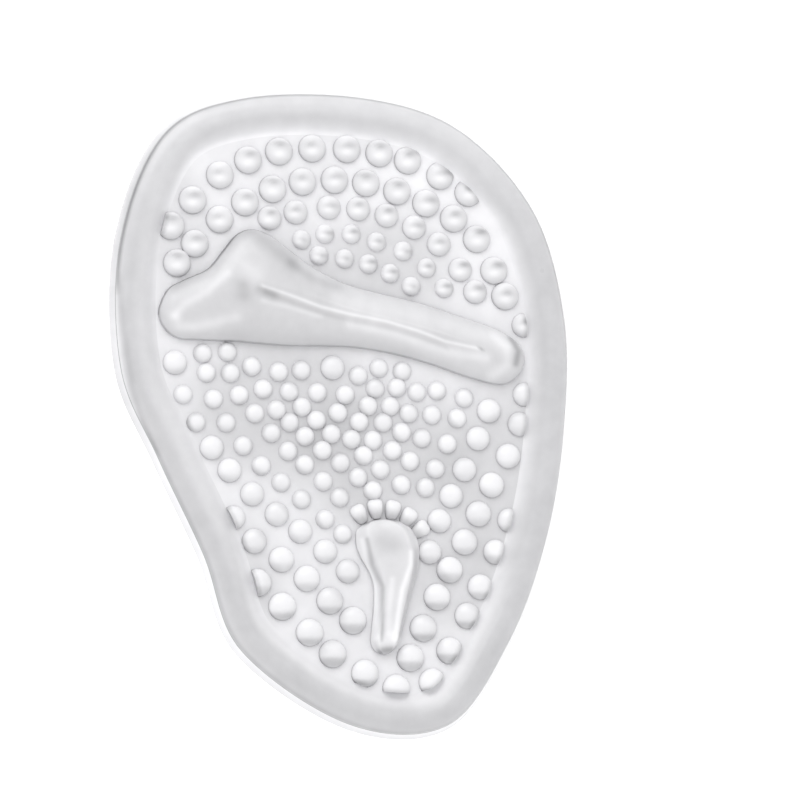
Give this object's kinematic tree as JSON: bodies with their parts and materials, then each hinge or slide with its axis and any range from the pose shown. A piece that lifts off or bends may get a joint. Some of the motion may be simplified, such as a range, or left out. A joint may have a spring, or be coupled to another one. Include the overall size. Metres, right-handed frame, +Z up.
{
  "type": "forefoot gel shoe pad",
  "caption": "Clear gel forefoot cushion for a shoe: flat base, rolled border, toe ridge, keyhole-shaped pad and massaging nubs.",
  "frame": {"origin": "centre of the underside's bounding box, on the plane that lies on the insole", "axes": "+Y along the pad's length to the toe end, +X to the right seen from above, +Z up to the foot"},
  "size_m": [0.0692, 0.098, 0.0052],
  "materials": {
    "gel": "soft translucent silicone gel, near-white, smooth with a satin gloss"
  },
  "bodies": {
    "root": {"gel_pad": "gel"}
  },
  "joints": []
}
